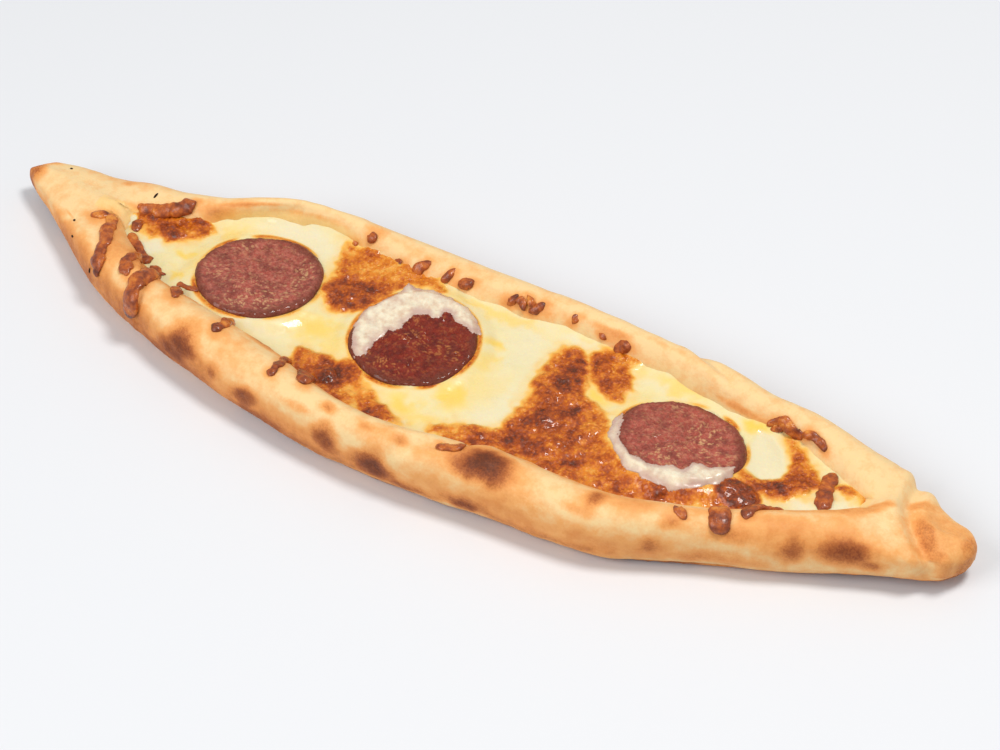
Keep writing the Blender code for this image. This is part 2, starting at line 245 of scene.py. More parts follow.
FAR_SHREDS = (
    (2.4, ((-130, 150), (-125, 140), (-119, 128), (-113, 112), (-112, 100))),
    (2.9, ((-51, 125), (-50.5, 112), (-51, 100))), (1.5, ((-57, 143), (-55, 136))),
    (1.8, ((-40, 146), (-38, 136), (-37, 129))), (1.7, ((-31, 150), (-30, 130), (-28.5, 109))),
    (1.6, ((-21, 140), (-20, 124), (-19, 108))), (2, ((-15, 133), (-12.5, 122), (-11, 116))),
    (1.7, ((2, 136), (4, 126), (5.5, 112))), (1.4, ((5, 116), (8, 122), (10, 132))),
    (1.5, ((8, 104), (10, 116), (12, 126))), (1.7, ((11, 136), (13.5, 124), (15, 110))),
    (1.5, ((26, 132), (27, 118), (27.5, 112))), (1.1, ((36, 130), (39, 134))),
    (1.9, ((43, 150), (44.5, 138), (48, 130))),
    (1.8, ((100, 140), (104, 126), (107, 124), (110, 134), (113, 126))),
    (1.7, ((112, 130), (115, 116), (118, 118), (121, 128))), (1.3, ((102, 150), (104, 138), (106, 132))),
)
# Browned shreds and blisters on the filling: half width, then (x, y) points.
FILLING_SHREDS = (
    (1.6, ((-127, 9), (-126, 6), (-124.5, 4))),
    (2.5, ((126, 19), (126.8, 14.5), (128, 10), (129, 5.5), (129.3, 2))),
    (1.9, ((-126, 2.5), (-121, -2), (-116.5, -4.5), (-112, -7))),
    (1.3, ((-111, -7.5), (-106.5, -9), (-103.5, -9))), (1.1, ((-98, -11), (-93, -12), (-89, -12.5))),
)
# The clear pool of white cheese, the browned tongue beside it and the white pocket at the left end.
POOL = ((99, 24), (104, 23.5), (109, 20), (113, 13), (113, 9), (108, 5.5), (103, 6.5), (101, 10), (99, 17))
TONGUE = (105, -4.5, 7.5, 5.6)
POCKET = (-129.5, 7.5, 2.2, 3.2)
BLISTERS = (  # x, y, half sizes, height
    (105, -4.5, 7.0, 5.2, 2.6), (82, -15, 4.2, 3.4, 2.0), (45.5, 30.5, 2.6, 1.6, 1.2), (38, -5, 4.5, 4, 1.0),
    (53, -2, 3, 3, 1), (34, 5, 4, 4, 0.8), (-44, 13, 5, 4, 0.9), (-113, 10, 4, 3, 1), (120, 8, 3.5, 3, 0.9),
    (-33, -22, 4, 3.4, 1.5), (44, -14, 5, 4, 0.9), (62, -13, 4, 3, 0.9),
)
BLACK_SPECKS = (  # rim, x, angle, length
    ("far", -133, 10, 1.6), ("far", -126.5, 104, 2.6), ("far", -162, 96, 1.2), ("near", -145, 74, 1.2),
    ("near", -128, 16, 2.4), ("far", 119, 168, 1.3), ("near", -142, 35, 1.5),
)

# ------ relief of the surfaces

# Layers of noise: strength, size of the features, seed.
DOUGH_LUMPS = ((0.75, 26, 3), (0.38, 11, 5), (0.14, 4.5, 7))
SPOT_WARP = ((0.26, 7, 11), (0.10, 2.6, 12))
CHEESE_WOBBLE = ((0.9, 4, 41), (0.6, 1.8, 42))
CHEESE_SWELL = ((0.6, 24, 44), (0.30, 9, 45))
CHEESE_RIPPLE = ((0.16, 3.2, 46), (0.05, 1.3, 52))
CHEESE_CLIMB = ((1.5, 9, 53), (0.8, 3.5, 54))
SLICE_RELIEF = ((0.30, 13, 0), (0.30, 2.8, 1), (0.26, 1.3, 2))
CAP_RAGS = ((0.55, 2.4, 0), (0.2, 1.1, 1))
SHRED_BUMPS = ((0.34, 1.7, 1), (0.22, 0.8, 2))

LEFT_TIP = (-150, -137)  # where the smoothing of each tip fades out
RIGHT_TIP = (142, 155)
TIP_CREST = (35, 85)  # the angles between which it sets in
TIP_PASSES = 120
MM_PER_DEGREE = 0.30  # round a rim, roughly
UNDER = -0.6  # normals that point further down than this are the underside
CREASE_LIP = 0.25  # the swelling beside a crease, as a share of its depth
CREASE_LIP_PLACE = 2.2  # and how many widths away it lies
CLIMB_HEIGHT = 2.3  # how far the cheese climbs the walls, and how fast that fades inwards
CLIMB_RUN = 2.6
CLIMB_LEFT = (-137, -122)  # where the climbing sets in at the left and fades out at the right
CLIMB_RIGHT = (134, 146)
SLICE_COLLAR = 1.02  # the ring of browned cheese round a slice, in slice radii
BELOW_SLICE_EDGE = 0.75
BELOW_SLICE = 2.2
CHEESE_THICKNESS = 4.0
CAP_HEIGHT = 0.52
CAP_THICKNESS = 1.0
SHRED_FLATNESS = 0.46
SHRED_LIFT = 0.25
SPECK_HALF_WIDTH = 0.45
SPECK_HALF_HEIGHT = 0.35

# ------ detail of the meshes

CRUST_STATIONS = 560
BUNCHING = 0.25  # how much the stations bunch up towards the tips
WALL_POINTS = 42
INNER_POINTS = 26
FLOOR_POINTS = 3
UNDERSIDE_POINTS = 14
CHEESE_STEP = 0.55
CHEESE_ACROSS = (-36.0, 38.0)
SLICE_STEP = 0.45
SLICE_SIDES = 220
CAP_STEP = 0.4
SHRED_STEP = 0.45
SHRED_SIDES = 20

# ------ camera and light

CAMERA_AT = (325.2, -526.4, 640.6)
CAMERA_DIRECTION = (-0.3521, 0.6052, -0.7140)
CAMERA_ROLL = -0.55
CAMERA_LENS = 99.0
SENSOR_WIDTH = 36.0
# Lights: place and size in metres, power, colour.
KEY_LIGHT = ((0.36, 0.20, 1.22), 0.36, 9.4, (1.0, 0.985, 0.96))
FILL_LIGHT = ((-0.55, -0.95, 0.95), 0.9, 9.5, (1.0, 1.0, 1.0))
SKY = (0.95, 0.97, 1.0, 1.0)
SKY_STRENGTH = 0.42
FLOOR_SIZE = 6.0


def smoothstep(low, high, value):
    share = np.clip((value - low) / (high - low), 0.0, 1.0)
    return share * share * (3.0 - 2.0 * share)


def along(x, stations):
    """A smooth curve through (x, value) stations, level past its ends."""
    knots, values = np.array(stations, float).T
    slopes = np.gradient(values, knots)
    x = np.clip(x, knots[0], knots[-1])
    i = np.clip(np.searchsorted(knots, x) - 1, 0, len(knots) - 2)
    span = knots[i + 1] - knots[i]
    t = (x - knots[i]) / span
    start = (2 * t**3 - 3 * t**2 + 1) * values[i] + (t**3 - 2 * t**2 + t) * span * slopes[i]
    end = (3 * t**2 - 2 * t**3) * values[i + 1] + (t**3 - t**2) * span * slopes[i + 1]
    return start + end


# ------ noise


def lattice_value(cells, seed):
    """A fixed pseudo-random number from -1 to 1 for each whole-numbered cell."""
    mixed = cells[..., 0] * 374761393 + cells[..., 1] * 668265263 + cells[..., 2] * 2147483647
    mixed = mixed + seed * 974634777
    mixed = (mixed ^ (mixed >> 13)) * 1274126177
    mixed = mixed ^ (mixed >> 16)
    return (mixed & 0xFFFFFF) / float(0x7FFFFF) - 1.0


def noise(points, size, seed=0):
    """Smooth noise from -1 to 1 whose features are about size millimetres across."""
    scaled = points / size
    cell = np.floor(scaled).astype(np.int64)
    t = scaled - cell
    t = t * t * (3.0 - 2.0 * t)
    total = np.zeros(points.shape[:-1])
    for corner in range(8):
        offset = np.array((corner & 1, corner >> 1 & 1, corner >> 2 & 1))
        weight = np.prod(np.where(offset, t, 1.0 - t), axis=-1)
        total += weight * lattice_value(cell + offset, seed)
    return total


def rough_noise(points, size, seed=0, octaves=3):
    return sum(noise(points, size / 2**i, seed + i) * 0.5**i for i in range(octaves))


def layered(points, layers, seed=0):
    """The sum of layers of noise."""
    return sum(strength * noise(points, size, seed + first) for strength, size, first in layers)


def bubbles(x, y, size, seed, low=0.25, high=0.6):
    """Round domes from 0 to 1, one in each cell of a jittered grid, and a number for each dome."""
    cx, cy = np.floor(x / size).astype(np.int64), np.floor(y / size).astype(np.int64)
    height = np.zeros_like(x)
    owner = np.zeros_like(x)
    for dx in (-1, 0, 1):
        for dy in (-1, 0, 1):
            cell = np.stack([cx + dx, cy + dy, np.zeros_like(cx)], axis=-1)
            px = (cell[..., 0] + 0.5 + 0.4 * lattice_value(cell, seed)) * size
            py = (cell[..., 1] + 0.5 + 0.4 * lattice_value(cell, seed + 1)) * size
            share = (lattice_value(cell, seed + 2) + 1) / 2
            radius = (low + (high - low) * share) * size
            dome = np.clip(1.0 - ((x - px) ** 2 + (y - py) ** 2) / radius**2, 0.0, 1.0) * (0.4 + 0.6 * share)
            owner = np.where(dome > height, share, owner)
            height = np.maximum(height, dome)
    return height, owner


def flat_points(x, y, z=0.0):
    return np.stack([x, y, np.full_like(x, z)], axis=-1)


# ------ shape of the dough


def ribs(x):
    """The sizes of the cross-sections at the places x."""
    away = np.minimum((HALF_LENGTH - np.abs(x)) / np.where(x < 0, LEFT_ROUND, RIGHT_ROUND), 1.0)
    rounding = np.sqrt(np.clip(1.0 - (1.0 - away) ** 2, 0.0, 1.0))
    near, far = along(x, NEAR_EDGE), along(x, FAR_EDGE)
    middle, half = (near + far) / 2, (far - near) / 2 * rounding
    base = TIP_LIFT * smoothstep(TIP_RUN, 1.0, np.abs(x) / HALF_LENGTH)
    near_top, far_top = NEAR_CREST * along(x, NEAR_HEIGHT), FAR_CREST * along(x, FAR_HEIGHT)
    depth = smoothstep(TROUGH_START, TROUGH_START + TROUGH_RUN, x)
    depth = depth * (1.0 - smoothstep(TROUGH_END - TROUGH_RUN, TROUGH_END, x))
    raised = np.maximum(near_top, far_top) + TIP_DOME
    floor = raised + (BASE_THICKNESS - raised) * depth
    waist = (base + near_top) / 2
    thinning = BLUNTNESS + (1.0 - BLUNTNESS) * rounding
    heights = (base, near_top, far_top, floor)
    base, near_top, far_top, floor = (waist + (z - waist) * thinning for z in heights)
    return {
        "near": (middle - half, 1.0, np.minimum(along(x, NEAR_RIM), half * WIDEST_RIM), near_top),
        "far": (middle + half, -1.0, np.minimum(along(x, FAR_RIM), half * WIDEST_RIM), far_top),
        "base": base,
        "floor": floor,
    }


def rim_place(rib, side, angle):
    """The y and z of a rim at an angle: -90 the underside, 0 outward, 90 the crest, 180 the floor."""
    edge, inward, width, top = rib[side]
    wall = width * WALL_SHARE
    crest = edge + inward * wall
    turn = np.radians(angle)
    out = np.abs(np.cos(np.clip(turn, -np.pi / 2, np.pi / 2))) ** WALL_OUT_POWER
    sine = np.sin(np.clip(turn, -np.pi / 2, np.pi / 2))
    up = np.copysign(np.abs(sine) ** WALL_UP_POWER, sine)
    outer_y = crest - inward * wall * out
    outer_z = rib["base"] + (top - rib["base"]) / 2 * (1.0 + up)
    inner = turn - np.pi / 2
    inner_y = crest + inward * (width - wall) * np.sin(inner)
    inner_z = rib["floor"] + (top - rib["floor"]) * np.cos(inner)
    on_wall = angle <= 90
    return np.where(on_wall, outer_y, inner_y), np.where(on_wall, outer_z, inner_z)


def distance_to_path(x, y, path):
    """How far plan points are from a path, and which side they are on: +1 to its left."""
    nearest = np.full(np.shape(x), np.inf)
    side = np.ones(np.shape(x))
    for (ax, ay), (bx, by) in zip(path, path[1:]):
        dx, dy = bx - ax, by - ay
        share = np.clip(((x - ax) * dx + (y - ay) * dy) / (dx * dx + dy * dy), 0.0, 1.0)
        distance = np.hypot(x - ax - share * dx, y - ay - share * dy)
        closer = distance < nearest
        nearest = np.where(closer, distance, nearest)
        side = np.where(closer, np.where(dx * (y - ay) - dy * (x - ax) > 0, 1.0, -1.0), side)
    return nearest, side


def depth_inside(x, y, outline):
    """How far plan points are inside a closed outline, negative outside it."""
    nearest, _ = distance_to_path(x, y, outline + outline[:1])
    inside = np.zeros(np.shape(x), bool)
    for (ax, ay), (bx, by) in zip(outline, outline[1:] + outline[:1]):
        if ay != by:
            crosses = (ay > y) != (by > y)
            inside ^= crosses & (x < (bx - ax) * (y - ay) / (by - ay) + ax)
    return np.where(inside, nearest, -nearest)


def blot(x, y, cx, cy, half_x, half_y, edge, turn=0.0):
    """1 inside an ellipse, falling to 0 outside it over edge, a share of its size."""
    c, s = math.cos(math.radians(turn)), math.sin(math.radians(turn))
    u = ((x - cx) * c + (y - cy) * s) / half_x
    v = ((y - cy) * c - (x - cx) * s) / half_y
    return 1.0 - smoothstep(1.0 - edge, 1.0 + edge, np.hypot(u, v))


# ------ mesh helpers


def grid_mesh(name, points, closed_rows=False, keep=None):
    """A mesh over a grid of points, its rows closed into rings or not, with only the cells of keep."""
    rows, columns = points.shape[:2]
    number = np.arange(rows * columns).reshape(rows, columns)
    right = np.roll(number, -1, axis=1) if closed_rows else number[:, 1:]
    left = number if closed_rows else number[:, :-1]
    quads = np.stack([left[:-1], right[:-1], right[1:], left[1:]], axis=-1)
    quads = quads.reshape(-1, 4) if keep is None else quads[keep]
    used = np.unique(quads)
    renumber = np.full(rows * columns, -1)
    renumber[used] = np.arange(len(used))
    data = bpy.data.meshes.new(name)
    data.from_pydata((points.reshape(-1, 3)[used] * MM).tolist(), [], renumber[quads].tolist())
    data.shade_smooth()
    return data, used


def cap_rings(data, count):
    """Closes both ends of a tube whose rings have count points."""
    mesh = bmesh.new()
    mesh.from_mesh(data)
    mesh.verts.ensure_lookup_table()
    total = len(mesh.verts)
    for ring in (range(count), range(total - count, total)):
        mesh.faces.new([mesh.verts[i] for i in ring])
    bmesh.ops.recalc_face_normals(mesh, faces=mesh.faces)
    for face in mesh.faces:
        face.smooth = True
    mesh.to_mesh(data)
    mesh.free()


def paint(data, name, red, green, blue):
    """Stores three shares for each vertex as a colour attribute."""
    layer = data.color_attributes.new(name, "FLOAT_COLOR", "POINT")
    colours = np.ones((len(data.vertices), 4), np.float32)
    for channel, values in enumerate((red, green, blue)):
        colours[:, channel] = np.clip(values, 0.0, 1.0)
    layer.data.foreach_set("color", colours.ravel())


def grid_normals(points, closed_rows):
    """Unit normals of a grid of points, by differences along and across it."""
    along_rows = np.gradient(points, axis=0)
    if closed_rows:
        across = (np.roll(points, -1, axis=1) - np.roll(points, 1, axis=1)) / 2
    else:
        across = np.gradient(points, axis=1)
    normal = np.cross(along_rows, across)
    return normal / np.maximum(np.linalg.norm(normal, axis=-1, keepdims=True), 1e-9)


def add_piece(name, data, slot, *replaced):
    piece = bpy.data.objects.new(name, data)
    bpy.context.scene.collection.objects.link(piece)
    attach(piece, "root")
    if replaced:
        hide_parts(*replaced)


# ------ materials


class Shader:
    """A Principled material with short calls for its node links."""

    def __init__(self, name):
        self.material = bpy.data.materials.new(name)
        self.material.use_nodes = True
        self.nodes = self.material.node_tree.nodes
        self.links = self.material.node_tree.links
        self.principled = self.nodes["Principled BSDF"]

    def set(self, **values):
        for name, value in values.items():
            self.principled.inputs[name.replace("_", " ")].default_value = value

    def link(self, source, target):
        self.links.new(source, target)

    def feed(self, target, value):
        if isinstance(value, bpy.types.NodeSocket):
            self.link(value, target)
        elif isinstance(value, tuple):
            target.default_value = (*value, 1.0)
        else:
            target.default_value = value

    def shares(self, name):
        attribute = self.nodes.new("ShaderNodeAttribute")
        attribute.attribute_name = name
        split = self.nodes.new("ShaderNodeSeparateColor")
        self.link(attribute.outputs["Color"], split.inputs["Color"])
        return split.outputs

    def texture(self, kind, **settings):
        """A procedural texture over the piece's own coordinates."""
        place = self.nodes.new("ShaderNodeTexCoord")
        node = self.nodes.new(kind)
        for name, value in settings.items():
            node.inputs[name].default_value = value
        self.link(place.outputs["Object"], node.inputs["Vector"])
        return node.outputs

    def noise(self, scale, detail=3.0, roughness=0.5):
        return self.texture("ShaderNodeTexNoise", Scale=scale, Detail=detail, Roughness=roughness)["Fac"]

    def cells(self, scale):
        return self.texture("ShaderNodeTexVoronoi", Scale=scale)["Distance"]

    def spread(self, value, low, high, to_low=0.0, to_high=1.0):
        node = self.nodes.new("ShaderNodeMapRange")
        node.interpolation_type = "SMOOTHSTEP"
        self.feed(node.inputs["Value"], value)
        for name, number in (("From Min", low), ("From Max", high), ("To Min", to_low), ("To Max", to_high)):
            node.inputs[name].default_value = number
        return node.outputs["Result"]

    def math(self, operation, first, second=0.0):
        node = self.nodes.new("ShaderNodeMath")
        node.operation = operation
        self.feed(node.inputs[0], first)
        self.feed(node.inputs[1], second)
        return node.outputs["Value"]

    def times(self, first, second):
        return self.math("MULTIPLY", first, second)

    def plus(self, first, second):
        return self.math("ADD", first, second)

    def mix(self, share, first, second):
        node = self.nodes.new("ShaderNodeMix")
        node.data_type = "RGBA"
        self.feed(node.inputs["Factor"], share)
        self.feed(node.inputs["A"], first)
        self.feed(node.inputs["B"], second)
        return node.outputs["Result"]

    def ramp(self, value, *stops):
        node = self.nodes.new("ShaderNodeValToRGB")
        elements = node.color_ramp.elements
        while len(elements) < len(stops):
            elements.new(0.5)
        for element, (position, colour) in zip(elements, stops):
            element.position = position
            element.color = (*colour, 1.0)
        self.feed(node.inputs["Fac"], value)
        return node.outputs["Color"]

    def bump(self, height, distance, strength=1.0, normal=None):
        node = self.nodes.new("ShaderNodeBump")
        node.inputs["Strength"].default_value = strength
        node.inputs["Distance"].default_value = distance
        self.feed(node.inputs["Height"], height)
        if normal is not None:
            self.link(normal, node.inputs["Normal"])
        return node.outputs["Normal"]

    def cover(self, colour, roughness, normal):
        """Feeds the looks that vary over the surface."""
        for name, value in (("Base Color", colour), ("Roughness", roughness), ("Normal", normal)):
            self.feed(self.principled.inputs[name], value)


BROWNING = (  # from pale dough to scorched dough
    (0.00, (0.870, 0.610, 0.295)),
    (0.20, (0.850, 0.400, 0.125)),
    (0.38, (0.740, 0.285, 0.072)),
    (0.58, (0.460, 0.135, 0.030)),
    (0.80, (0.245, 0.056, 0.012)),
    (1.00, (0.125, 0.030, 0.010)),
)
CHEESE_BROWNING = (  # from pale melted cheese to dark browned cheese
    (0.00, (0.805, 0.690, 0.365)),
    (0.16, (0.860, 0.480, 0.095)),
    (0.36, (0.720, 0.225, 0.014)),
    (0.60, (0.480, 0.095, 0.004)),
    (0.82, (0.250, 0.038, 0.003)),
    (1.00, (0.110, 0.022, 0.006)),
)
SHRED_BROWNING = (  # from orange-brown to purple-brown
    (0.05, (0.720, 0.260, 0.042)),
    (0.36, (0.500, 0.120, 0.020)),
    (0.68, (0.280, 0.060, 0.018)),
    (1.00, (0.130, 0.032, 0.016)),
)
CHARRED = (0.035, 0.018, 0.012)


def blend(first, second, share):
    """A colour between two."""
    return tuple(a + (b - a) * share for a, b in zip(first, second))


def scaled(colour, amount):
    return tuple(channel * amount for channel in colour)


def dough_material():
    """Shares: red is scorch, green is golden blush, low on the walls partly painted shade, blue is oil near
    the filling.
    """
    s = Shader("baked_dough")
    scorch, golden_and_shade, oil = s.shares("bake")[:3]
    mottle = s.spread(s.noise(260, 4.0, 0.6), 0.3, 0.7, -0.06, 0.06)
    specks = s.spread(s.noise(1500, 2.0, 0.6), 0.35, 0.7, -0.05, 0.09)
    level = s.plus(s.plus(s.times(golden_and_shade, 0.33), s.times(scorch, 0.72)), mottle)
    level = s.plus(level, s.times(specks, s.plus(scorch, 0.2)))
    colour = s.mix(s.times(oil, 0.60), s.ramp(level, *BROWNING), (0.95, 0.60, 0.17))
    roughness = s.math("SUBTRACT", s.spread(s.noise(700), 0.3, 0.7, 0.50, 0.64), s.times(oil, 0.25))
    fine = s.bump(s.noise(1900, 3.0), 0.00010, 0.5)
    s.cover(colour, roughness, s.bump(s.noise(480, 5.0, 0.6), 0.00040, 0.7, fine))
    s.set(Subsurface_Weight=0.10, Subsurface_Radius=(0.9, 0.5, 0.25), Subsurface_Scale=0.0022)
    s.set(Specular_IOR_Level=0.30)
    return s.material


def cheese_material():
    """Shares: red is browning, green is whiteness, blue is yellowness."""
    s = Shader("melted_cheese")
    browning, white, yellow = s.shares("melt")[:3]
    mottle = s.spread(s.noise(380, 5.0, 0.65), 0.28, 0.72, -0.17, 0.17)
    grain = s.spread(s.cells(820), 0.05, 0.60, -0.11, 0.08)
    uneven = s.times(s.plus(mottle, grain), s.spread(browning, 0.12, 0.50, 0.02, 1.0))
    colour = s.ramp(s.plus(browning, uneven), *CHEESE_BROWNING)
    pale = s.spread(browning, 0.0, 0.16, 1.0, 0.0)
    colour = s.mix(s.times(s.times(white, pale), 0.85), colour, (0.775, 0.705, 0.490))
    colour = s.mix(s.times(s.times(yellow, pale), 0.85), colour, (0.88, 0.58, 0.065))
    soft = s.bump(s.noise(160, 3.0), 0.0006, 0.35)
    cells = s.spread(s.cells(620), 0.0, 0.55)
    grit = s.plus(s.times(s.noise(1300, 4.0, 0.65), 0.6), s.times(cells, 0.55))
    crisp = s.times(grit, s.spread(browning, 0.05, 0.4, 0.06, 1.0))
    roughness = s.spread(s.noise(300, 4.0), 0.35, 0.65, 0.16, 0.36)
    s.cover(colour, roughness, s.bump(crisp, 0.00050, 0.9, soft))
    s.set(Subsurface_Weight=0.15, Subsurface_Radius=(1.0, 0.6, 0.25), Subsurface_Scale=0.0014)
    s.set(Specular_IOR_Level=0.28, Coat_Weight=0.40, Coat_Roughness=0.05)
    return s.material


def white_cheese_material():
    """The first share is how thin the sheet is, so that the meat shows through."""
    s = Shader("white_cheese")
    thin = s.shares("melt")[0]
    body = s.ramp(s.noise(420, 4.0, 0.6), (0.32, (0.68, 0.50, 0.35)), (0.60, (0.84, 0.75, 0.56)))
    colour = s.mix(s.times(thin, 0.75), body, (0.50, 0.30, 0.26))
    roughness = s.spread(s.noise(600), 0.3, 0.7, 0.18, 0.38)
    s.cover(colour, roughness, s.bump(s.noise(380, 3.0, 0.5), 0.0004, 0.5))
    s.set(Subsurface_Weight=0.25, Subsurface_Radius=(1.0, 0.75, 0.6), Subsurface_Scale=0.0018)
    s.set(Specular_IOR_Level=0.35, Coat_Weight=0.3, Coat_Roughness=0.10)
    return s.material


def sucuk_material(name, red, dark):
    """Ground cured meat: maroon, with paler grains of fat. The shares are fat and edge browning."""
    s = Shader(name)
    fat, edge = s.shares("meat")[:2]
    lean = blend((0.420, 0.093, 0.062), (0.235, 0.014, 0.003), red)
    lean = scaled(lean, 1.42 - 0.55 * dark)
    pink = blend((0.760, 0.330, 0.235), (0.340, 0.046, 0.006), red)
    mince = s.spread(s.noise(900, 4.0, 0.7), 0.38, 0.66)
    streaks = s.spread(s.cells(520), 0.12, 0.42, 1.0, 0.0)
    share = s.times(s.plus(s.times(mince, 0.60), s.times(streaks, 0.45)), 0.95)
    colour = s.mix(s.times(share, 1.0 - 0.35 * dark), lean, pink)
    colour = s.mix(s.spread(s.noise(260, 5.0, 0.65), 0.40, 0.64, 0.0, 0.72), colour, scaled(lean, 0.45))
    colour = s.mix(fat, colour, blend((0.82, 0.54, 0.28), (0.58, 0.20, 0.05), red))
    colour = s.mix(edge, colour, (0.17, 0.035, 0.014))
    roughness = s.spread(s.noise(800), 0.3, 0.7, 0.34, 0.58)
    grain = s.plus(s.noise(1100, 3.0, 0.6), s.times(s.cells(700), 0.6))
    s.cover(colour, roughness, s.bump(grain, 0.00110, 0.9))
    s.set(Subsurface_Weight=0.06, Subsurface_Radius=(1.0, 0.3, 0.2), Subsurface_Scale=0.0008)
    s.set(Specular_IOR_Level=0.25, Coat_Weight=0.42, Coat_Roughness=0.08)
    return s.material


def shred_material():
    """Browned shreds of cheese: orange-brown to purple-brown by the first share, with a greasy gloss."""
    s = Shader("browned_shreds")
    uneven = s.spread(s.noise(520, 4.0, 0.6), 0.3, 0.7, -0.22, 0.22)
    colour = s.ramp(s.plus(s.shares("melt")[0], uneven), *SHRED_BROWNING)
    roughness = s.spread(s.noise(700), 0.3, 0.7, 0.2, 0.42)
    s.cover(colour, roughness, s.bump(s.noise(1000, 4.0, 0.6), 0.0004, 0.7))
    s.set(Subsurface_Weight=0.05, Subsurface_Radius=(0.8, 0.3, 0.15), Subsurface_Scale=0.001)
    s.set(Specular_IOR_Level=0.25, Coat_Weight=0.30, Coat_Roughness=0.10)
    return s.material


def speck_material():
    s = Shader("burnt_speck")
    colour = s.mix(s.noise(900), scaled(CHARRED, 0.7), CHARRED)
    s.feed(s.principled.inputs["Base Color"], colour)
    s.set(Roughness=0.6, Specular_IOR_Level=0.1)
    return s.material


# ------ the dough


def spots(x, angle, listed, warp):
    """The strongest of the listed spots at places on a rim, their edges pushed about by warp."""
    total = np.zeros_like(x)
    for cx, ca, half_x, half_angle, strength in listed:
        reach = np.hypot((x - cx) / half_x, (angle - ca) / half_angle) + warp
        total = np.maximum(total, strength * (1.0 - smoothstep(0.05, 1.55, reach)))
    return total


def smooth_ends(points, angle, x):
    """Rounds the top of the two tips, where the rims run together, by averaging it across the bread."""
    amount = 1.0 - smoothstep(*LEFT_TIP, x) * (1.0 - smoothstep(*RIGHT_TIP, x))
    amount = 0.5 * amount[:, None, None] * smoothstep(*TIP_CREST, angle)[..., None]
    for _ in range(TIP_PASSES):
        middle = (np.roll(points, 1, axis=1) + np.roll(points, -1, axis=1)) / 2
        points += amount * (middle - points)


def bridge(start, end, count):
    """Rows of count points between two rows."""
    share = (np.arange(count) + 1.0) / (count + 1)
    return start[:, None] + (end - start)[:, None] * share[None, :, None]


def crust_grid():
    """The plain dough as rings of points, with each point's angle and whether it is on the near rim."""
    bunched = np.cos(np.linspace(np.pi, 0.0, CRUST_STATIONS))
    even = np.linspace(-1.0, 1.0, CRUST_STATIONS)
    x = (HALF_LENGTH - TIP_FLAT) * (BUNCHING * bunched + (1.0 - BUNCHING) * even)
    rib = ribs(x)
    angles = np.concatenate([np.linspace(-90, 90, WALL_POINTS), np.linspace(90, 180, INNER_POINTS)[1:]])
    rims = []
    for side in ("near", "far"):
        y, z = zip(*(rim_place(rib, side, np.full_like(x, angle)) for angle in angles))
        rims.append(np.stack([np.stack([x] * len(angles), 1), np.stack(y, 1), np.stack(z, 1)], axis=-1))
    near, far = rims[0], rims[1][:, ::-1]
    floor = bridge(near[:, -1], far[:, 0], FLOOR_POINTS)
    underside = bridge(far[:, -1], near[:, 0], UNDERSIDE_POINTS)
    points = np.concatenate([near, floor, far, underside], axis=1)
    angle = np.concatenate([angles, [180] * FLOOR_POINTS, angles[::-1], [-90] * UNDERSIDE_POINTS])
    is_near = np.zeros(len(angle), bool)
    is_near[: len(angles) + FLOOR_POINTS // 2] = True
    is_near[len(angle) - UNDERSIDE_POINTS // 2 :] = True
    angle, is_near = (np.broadcast_to(row, points.shape[:2]) for row in (angle, is_near))
    smooth_ends(points, angle, x)
    return points, angle, is_near


def dough_relief(points, up):
    """How far the dough moves outwards for its lumps, flap and creases, where up is how far it faces up."""
    px, py = points[..., 0], points[..., 1]
    upper = np.clip(up - UNDER, 0.0, 1.0)
    move = layered(points, DOUGH_LUMPS) * np.where(up < -0.7, 0.25, 1.0)
    distance, side = distance_to_path(px, py, FLAP_EDGE)
    ragged = distance + 0.8 * noise(points, 5.0, 9)
    flap = np.clip(1.0 - ragged / FLAP_RUN, 0.0, 1.0) * smoothstep(-0.2, 1.4, ragged)
    move = move + FLAP_STEP * np.where(side < 0, flap, 0.0) * upper
    for path, depth, width in CREASES:
        distance, _ = distance_to_path(px, py, path)
        move = move - depth * np.exp(-((distance / width) ** 2)) * upper
        lip = np.exp(-(((distance - CREASE_LIP_PLACE * width) / width) ** 2))
        move = move + CREASE_LIP * depth * lip * upper
    return move


def scorching(points, angle, is_near, up, warp):
    """How scorched the dough is."""
    px, py = points[..., 0], points[..., 1]
    scorch = np.where(is_near, spots(px, angle, NEAR_SPOTS, warp), spots(px, angle, FAR_SPOTS, warp))
    for cx, cy, half_x, half_y, turn, strength in TOP_SPOTS:
        moved_x, moved_y = px + 2.2 * warp * half_y / 3, py + warp * half_y
        spot = blot(moved_x, moved_y, cx, cy, half_x, half_y, 0.55, turn)
        scorch = np.maximum(scorch, strength * spot * (up > -0.3))
    patches = 0.35 + 0.35 * rough_noise(points, 16.0, 21)
    return np.where(up < UNDER, np.clip(patches, 0.0, 0.8), scorch)


def blush_and_shade(points, angle, is_near, up, warp):
    """How golden the dough is: where listed, low on the walls (there partly painted shade), round the shreds
    and on the underside.
    """
    px = points[..., 0]
    golden_and_shade = np.where(is_near, spots(px, angle, NEAR_BLUSH, warp), spots(px, angle, FAR_BLUSH, warp))
    # Deeper colour low on the walls, most on the near left: partly browning at the base, partly painted
    # shade.
    low_wall_browning_and_shade = (0.35 + 0.6 * smoothstep(-30, -150, px) * is_near) * smoothstep(45, -50, angle)
    golden_and_shade = np.maximum(golden_and_shade, low_wall_browning_and_shade)
    for on_rim, listed in ((is_near, NEAR_SHREDS), (~is_near, FAR_SHREDS)):
        for half_width, path in listed:
            flat_path = [(x, turn * MM_PER_DEGREE) for x, turn in path]
            distance, _ = distance_to_path(px, angle * MM_PER_DEGREE, flat_path)
            golden_and_shade = np.maximum(golden_and_shade, 0.85 * on_rim * np.exp(-((distance / (half_width + 1.4)) ** 2)))
    far_inside = ~is_near & (angle > 95)
    mottle = np.where(far_inside, 0.12, 0.30) * noise(points, 15.0, 15)
    return np.where(up < UNDER, 0.8, golden_and_shade + mottle + 0.14 * noise(points, 5.0, 16))


